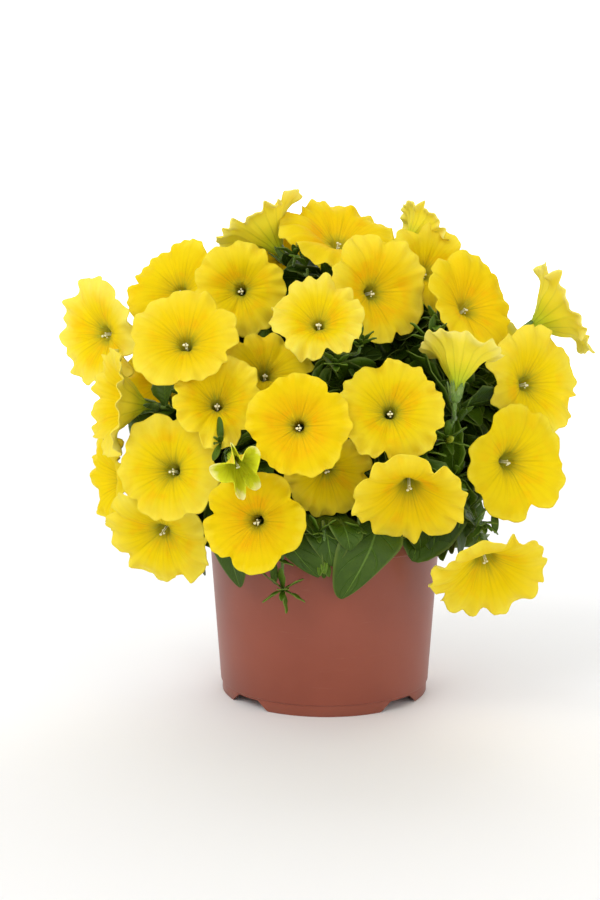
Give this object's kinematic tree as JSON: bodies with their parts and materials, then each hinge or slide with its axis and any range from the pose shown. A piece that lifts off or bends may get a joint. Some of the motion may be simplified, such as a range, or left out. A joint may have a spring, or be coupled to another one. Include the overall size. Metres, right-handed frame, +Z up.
{
  "type": "potted petunia",
  "caption": "Bushy petunia with trumpet flowers in a round plastic nursery pot on notched feet, a free-standing patio or bedding plant.",
  "frame": {"origin": "on the pot's axis, on the surface that its feet stand on", "axes": "+Z up along the pot's axis, -Y the front, +X to the right of a viewer in front"},
  "size_m": [0.3102, 0.2203, 0.2857],
  "materials": {
    "terracotta_plastic": "satin moulded plastic, terracotta brown",
    "compost": "damp peaty compost with wood fibre and a few pale grains",
    "stem_and_leaf": "soft hairy leaf, slightly glossy, with a paler midrib and veins",
    "petal": "thin velvety petal, golden towards the throat, with fine darker veins"
  },
  "bodies": {
    "root": {"pot": "terracotta_plastic", "soil": "compost", "shoot_left_low": "stem_and_leaf", "shoot_left": "stem_and_leaf", "shoot_front_left_low": "stem_and_leaf", "shoot_front_left": "stem_and_leaf", "shoot_front": "stem_and_leaf", "shoot_front_right": "stem_and_leaf", "shoot_right_low": "stem_and_leaf", "shoot_right": "stem_and_leaf", "shoot_right_high": "stem_and_leaf", "shoot_top": "stem_and_leaf", "shoot_top_left": "stem_and_leaf", "shoot_back_left": "stem_and_leaf", "shoot_back": "stem_and_leaf", "shoot_back_right": "stem_and_leaf", "flower_01": "petal", "flower_02": "petal", "flower_03": "petal", "flower_04": "petal", "flower_05": "petal", "flower_06": "petal", "flower_07": "petal", "flower_08": "petal", "flower_09": "petal", "flower_10": "petal", "flower_11": "petal", "flower_12": "petal", "flower_13": "petal", "flower_14": "petal", "flower_15": "petal", "flower_16": "petal", "flower_17": "petal", "flower_18": "petal", "flower_19": "petal", "flower_20": "petal", "flower_21": "petal", "flower_22": "petal", "flower_23": "petal", "flower_24": "petal", "flower_25": "petal", "flower_26": "petal", "flower_27": "petal", "flower_28": "petal", "flower_29": "petal", "flower_30": "petal", "flower_31": "petal", "flower_32": "petal", "flower_33": "petal", "flower_34": "petal", "flower_35": "petal", "flower_36": "petal", "flower_37": "petal", "flower_38": "petal", "flower_39": "petal", "flower_40": "petal"}
  },
  "joints": []
}
